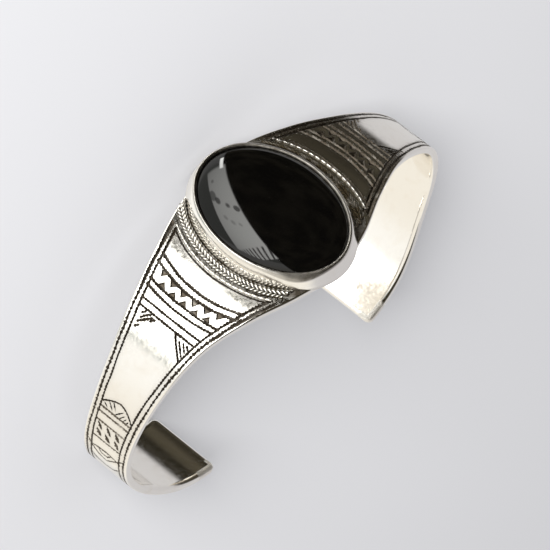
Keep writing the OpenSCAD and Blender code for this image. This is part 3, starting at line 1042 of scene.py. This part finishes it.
def silver(name, polish, tarnish_and_shade, waviness, roughness=(0.08, 0.2), blackened_and_shaded=BLACKENED_AND_SHADED, worn=False):
    """Polished silver, darkened where the named masks say."""
    look, nodes, links, shader = new_material(name)
    shader.inputs["Metallic"].default_value = 1.0
    hand = put(nodes, "ShaderNodeGroup", node_tree=polish)
    dark = blackening_and_shade(nodes, links, hand.outputs["Cloud"], tarnish_and_shade)
    tone = put(nodes, "ShaderNodeMix", data_type="RGBA")
    tone.inputs["A"].default_value = BRIGHT_SILVER
    tone.inputs["B"].default_value = WARM_SILVER
    links.new(ranged(nodes, links, hand.outputs["Cloud"], 0.5, 0.9, 0.0, 0.35), tone.inputs["Factor"])
    oxidise_and_shade = put(nodes, "ShaderNodeMix", data_type="RGBA")
    oxidise_and_shade.inputs["B"].default_value = blackened_and_shaded
    links.new(tone.outputs["Result"], oxidise_and_shade.inputs["A"])
    links.new(dark, oxidise_and_shade.inputs["Factor"])
    links.new(oxidise_and_shade.outputs["Result"], shader.inputs["Base Color"])
    rough = ranged(nodes, links, hand.outputs["Scratches"], 0.3, 0.75, *roughness)
    dull = put(nodes, "ShaderNodeMix", {"B": DULL_ROUGHNESS}, data_type="FLOAT")
    links.new(rough, dull.inputs["A"])
    links.new(dark, dull.inputs["Factor"])
    roughness_value = dull.outputs["Result"]
    if worn:
        read = put(nodes, "ShaderNodeAttribute", attribute_name="wear")
        matt = put(nodes, "ShaderNodeMix", {"B": WORN_ROUGHNESS}, data_type="FLOAT")
        links.new(roughness_value, matt.inputs["A"])
        links.new(read.outputs["Fac"], matt.inputs["Factor"])
        roughness_value = matt.outputs["Result"]
    links.new(roughness_value, shader.inputs["Roughness"])
    wavy = put(nodes, "ShaderNodeBump", {"Strength": 1.0, "Distance": waviness * MM})
    links.new(hand.outputs["Waves"], wavy.inputs["Height"])
    scratched = put(nodes, "ShaderNodeBump", {"Strength": 0.08, "Distance": SCRATCH_DEPTH * MM})
    links.new(hand.outputs["Scratches"], scratched.inputs["Height"])
    links.new(wavy.outputs["Normal"], scratched.inputs["Normal"])
    links.new(scratched.outputs["Normal"], shader.inputs["Normal"])
    return look


def black_stone(polish):
    look, nodes, links, shader = new_material("polished_black_stone")
    shader.inputs["IOR"].default_value = 1.5
    hand = put(nodes, "ShaderNodeGroup", node_tree=polish)
    hand.inputs["Wave size"].default_value = 140.0
    tone = put(nodes, "ShaderNodeMix", data_type="RGBA")
    tone.inputs["A"].default_value = (0.0006, 0.0006, 0.0006, 1.0)
    tone.inputs["B"].default_value = (0.0018, 0.0016, 0.0014, 1.0)
    links.new(hand.outputs["Cloud"], tone.inputs["Factor"])
    links.new(tone.outputs["Result"], shader.inputs["Base Color"])
    rough = ranged(nodes, links, hand.outputs["Scratches"], 0.3, 0.8, 0.02, 0.07)
    links.new(rough, shader.inputs["Roughness"])
    return look


# Studio: camera, floor, light, and the room that the silver reflects

# Fitted to the photograph, whose upper edge points well away from this frame's up
CAMERA_EYE = Vector((197.79, -390.89, 230.04)) * MM
VIEW = Vector((-0.40717, 0.79447, -0.45058))
VIEW_RIGHT = Vector((-0.6572, 0.08774, 0.74859))
VIEW_UP = Vector((-0.63427, -0.60093, -0.4864))
FOCAL_PIXELS = 3744.1
IMAGE_PIXELS = 550
SENSOR = 36.0
FLOOR_HALF = 2.0
FLOOR_GREY = (0.8, 0.8, 0.815, 1.0)
KEY_PLACE = Vector((381, -664, 270)) * MM
KEY_SIZE = 320 * MM
KEY_WATTS = 8.8


def camera():
    data = bpy.data.cameras.new("photo_camera")
    data.sensor_width = SENSOR
    data.lens = FOCAL_PIXELS * SENSOR / IMAGE_PIXELS
    data.clip_start = 0.01
    data.clip_end = 10
    item = bpy.data.objects.new("photo_camera", data)
    turn = Matrix((VIEW_RIGHT, VIEW_UP, -VIEW)).transposed().to_4x4()
    item.matrix_world = Matrix.Translation(CAMERA_EYE) @ turn
    bpy.context.scene.collection.objects.link(item)
    bpy.context.scene.camera = item


def floor():
    corners = [(x * FLOOR_HALF, y * FLOOR_HALF, 0) for x, y in ((-1, -1), (1, -1), (1, 1), (-1, 1))]
    mesh = bpy.data.meshes.new("floor")
    mesh.from_pydata(corners, [], [(0, 1, 2, 3)])
    item = bpy.data.objects.new("floor", mesh)
    bpy.context.scene.collection.objects.link(item)
    look, nodes, links, shader = new_material("pale_floor")
    shader.inputs["Base Color"].default_value = FLOOR_GREY
    shader.inputs["Roughness"].default_value = 0.9
    shader.inputs["Specular IOR Level"].default_value = 0.0
    mesh.materials.append(look)
    item.visible_glossy = False


def key_light():
    """A soft lamp, aimed at the middle of the cuff."""
    data = bpy.data.lights.new("key", "AREA")
    data.shape = "DISK"
    data.size = KEY_SIZE
    data.energy = KEY_WATTS
    item = bpy.data.objects.new("key", data)
    item.location = KEY_PLACE
    item.rotation_euler = (-KEY_PLACE).to_track_quat("-Z", "Y").to_euler()
    item.visible_glossy = False
    bpy.context.scene.collection.objects.link(item)


# What the silver reflects. Directions are (right, up, back) as seen from the camera.
# Each panel fills the half spaces of its sides: (direction, from, softness).
TABLE_LEFT = (0.82, 0.81, 0.79)
TABLE_RIGHT = (0.6, 0.59, 0.6)
AMBIENT = (0.53, 0.53, 0.54)
TO_ROOM = (0.968, 0.245, 0.05)
TO_WINDOW = (-0.968, -0.245, -0.05)
ABOVE_TABLE = (0, 0.52, 0.85)
TO_RAILS = (0.584, -0.678, 0.447)
ABOVE_RAILS = (-0.584, 0.678, -0.447)
RIGHT_OF_FRAME = (0.991, -0.121, 0.055)
UP = (0, 1, 0)
DOWN = (0, -1, 0)
BACK = (0, 0, 1)
FORTH = (0, 0, -1)
RIGHT = (1, 0, 0)
LOWER_LEFT = (-0.8, -0.35, 0.45)
TO_ROOM_CORNER = (0.684, 0.472, 0.558)
PANELS = [
    ("bright lower left", [(LOWER_LEFT, 0.15, 0.2)], (1.08, 1.07, 1.03)),
    ("warm lower left", [(LOWER_LEFT, 0.15, 0.2), (DOWN, 0.3, 0.18)], (0.97, 0.93, 0.84)),
    ("left wall", [(UP, -0.004, 0.01), (TO_WINDOW, 0.0, 0.02), (BACK, -0.1, 0.08)],
     (0.56, 0.575, 0.54)),
    ("dark room", [(TO_ROOM, -0.015, 0.012), (ABOVE_TABLE, -0.05, 0.05)], (0.037, 0.032, 0.022)),
    ("window", [(TO_WINDOW, -0.012, 0.012), (RIGHT_OF_FRAME, -0.618, 0.01), (BACK, 0.02, 0.05),
                (UP, -0.06, 0.02), (ABOVE_RAILS, -0.26, 0.02)], (1.0, 1.0, 0.96)),
    ("gap beside the window", [(TO_WINDOW, 0.015, 0.008), (TO_ROOM, -0.06, 0.012), (UP, 0.88, 0.02),
                               (BACK, -0.24, 0.03), (FORTH, -0.08, 0.02)], (13.0, 13.0, 12.6)),
]
# Dark leaves in the window: where, cosine of their reach, and how much they take away
LEAVES = [
    ((-0.343, 0.752, 0.562), 0.9988, 0.75), ((-0.254, 0.762, 0.596), 0.9995, 0.75),
    ((-0.459, 0.741, 0.49), 0.9985, 0.7), ((-0.52, 0.75, 0.41), 0.997, 0.6),
    ((-0.457, 0.607, 0.65), 0.9992, 0.3), ((-0.383, 0.599, 0.703), 0.9992, 0.3),
    ((-0.301, 0.618, 0.726), 0.9994, 0.3), ((-0.45, 0.86, 0.24), 0.9992, 0.4),
]
LEAF_EDGE = 0.4
# The window's light: a base, and what it gains toward the room's corner and toward the camera
GLOW = 2.0
GLOW_TO_ROOM = 4.0
GLOW_TO_CAMERA = 2.2
# Railings before it: how many in a unit of slant, and how much of the light they take
RAILS = 12.0
RAILS_SHIFT = 20.0
RAILS_TAKE = 0.88
RAIL_EDGES = (0.0, 0.12, 0.42, 0.5)
# Clutter in the dark room: size and detail of its shapes, and their darkest and brightest
CLUTTER_SCALE = 5.0
CLUTTER_DETAIL = 2.0
CLUTTER_FROM = (0.38, 0.66)
CLUTTER_TO = (0.6, 2.2)


class Sky:
    """Puts together the nodes of the studio's surroundings."""

    def __init__(self, world):
        self.nodes, self.links = world.node_tree.nodes, world.node_tree.links
        self.direction = self.nodes.new("ShaderNodeTexCoord").outputs["Generated"]

    def math(self, operation, *values):
        node = put(self.nodes, "ShaderNodeMath", operation=operation)
        for item, given in zip(node.inputs, values):
            if isinstance(given, (int, float)):
                item.default_value = given
            else:
                self.links.new(given, item)
        return node.outputs[0]

    def reach(self, direction):
        right, up, back = direction
        axis = VIEW_RIGHT * right + VIEW_UP * up - VIEW * back
        dot = put(self.nodes, "ShaderNodeVectorMath", {1: axis}, operation="DOT_PRODUCT")
        self.links.new(self.direction, dot.inputs[0])
        return dot.outputs["Value"]

    def ramp(self, value, low, high, to_low=0.0, to_high=1.0):
        return ranged(self.nodes, self.links, value, low, high, to_low, to_high, "SMOOTHSTEP")

    def mix(self, factor, first, second):
        node = put(self.nodes, "ShaderNodeMix", data_type="RGBA")
        for name, given in (("Factor", factor), ("A", first), ("B", second)):
            item = node.inputs[name]
            if isinstance(given, tuple):
                item.default_value = (*given, 1)
            elif isinstance(given, float):
                item.default_value = given
            else:
                self.links.new(given, item)
        return node.outputs["Result"]

    def scale(self, colour, value):
        node = put(self.nodes, "ShaderNodeVectorMath", {0: colour}, operation="SCALE")
        self.links.new(value, node.inputs["Scale"])
        return node.outputs["Vector"]


def window_view(sky):
    """What shows in the window: brighter to the lower right, railings at its foot, dark leaves."""
    toward_camera = sky.math("MULTIPLY_ADD", sky.reach(BACK), GLOW_TO_CAMERA, GLOW)
    glow = sky.math("MULTIPLY_ADD", sky.reach(TO_ROOM_CORNER), GLOW_TO_ROOM, toward_camera)
    beside = sky.math("DIVIDE", sky.reach(RIGHT), sky.math("MAXIMUM", sky.reach(BACK), 0.05))
    stripe = sky.math("FRACT", sky.math("MULTIPLY_ADD", beside, RAILS, RAILS_SHIFT))
    rise_from, rise_to, fall_from, fall_to = RAIL_EDGES
    falling = sky.ramp(stripe, fall_from, fall_to, 1.0, 0.0)
    gap = sky.math("MULTIPLY", sky.ramp(stripe, rise_from, rise_to), falling)
    rails = sky.math("MULTIPLY", gap, sky.ramp(sky.reach(TO_RAILS), -0.01, 0.03))
    light = sky.math("MULTIPLY", glow, sky.math("MULTIPLY_ADD", rails, -RAILS_TAKE, 1.0))
    for where, near, strength in LEAVES:
        spot = sky.ramp(sky.reach(where), near, 1 - (1 - near) * LEAF_EDGE, 1.0, 1.0 - strength)
        light = sky.math("MULTIPLY", light, spot)
    return light


def room():
    world = bpy.data.worlds.new("studio")
    bpy.context.scene.world = world
    world.use_nodes = True
    sky = Sky(world)
    colour = sky.mix(sky.ramp(sky.reach(RIGHT), -0.9, 0.9), TABLE_LEFT, TABLE_RIGHT)
    for name, sides, tone in PANELS:
        cover = None
        for direction, start, soft in sides:
            side = sky.ramp(sky.reach(direction), start - soft, start + soft)
            cover = sky.math("MULTIPLY", cover, side) if cover else side
        if name == "window":
            tone = sky.scale(tone, window_view(sky))
        if name == "dark room":
            shapes = {"Scale": CLUTTER_SCALE, "Detail": CLUTTER_DETAIL}
            clutter = put(sky.nodes, "ShaderNodeTexNoise", shapes)
            sky.links.new(sky.direction, clutter.inputs["Vector"])
            tone = sky.scale(tone, sky.ramp(clutter.outputs["Fac"], *CLUTTER_FROM, *CLUTTER_TO))
        colour = sky.mix(cover, colour, tone)
    # an even grey for everything but what the piece itself reflects
    path = sky.nodes.new("ShaderNodeLightPath")
    before_floor = sky.math("LESS_THAN", path.outputs["Diffuse Depth"], 0.5)
    seen = sky.mix(sky.math("MULTIPLY", path.outputs["Is Glossy Ray"], before_floor), AMBIENT, colour)
    sky.links.new(seen, sky.nodes["Background"].inputs["Color"])


def build():
    polish = hand_polish_group()
    engraved = silver("engraved_silver", polish, [("cut", 1.0), ("grime_and_shade", 0.9)], 0.035, worn=True)
    plain = silver("bezel_silver", polish, [("grime_and_shade", 0.8)], 0.04)
    twisted = silver("twisted_silver_wire", polish, [("tarnish_and_shade", 1.0)], 0.0, (0.12, 0.25), WIRE_TARNISH_AND_SHADE)
    black = black_stone(polish)
    pieces = {
        "cuff": [band(engraved), bezel(plain)]
        + [braid("braid_" + name, side, twisted) for name, side in (("plus", 1), ("minus", -1))]
        + [ridge("ridge_wire_" + name, side, twisted) for name, side in (("plus", 1), ("minus", -1))],
        "stone": [stone(black)],
    }
    for node, members in pieces.items():
        for piece in members:
            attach(piece, "root")
            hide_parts(node)


build()
floor()
camera()
room()
key_light()
bpy.context.scene.view_settings.view_transform = "Standard"
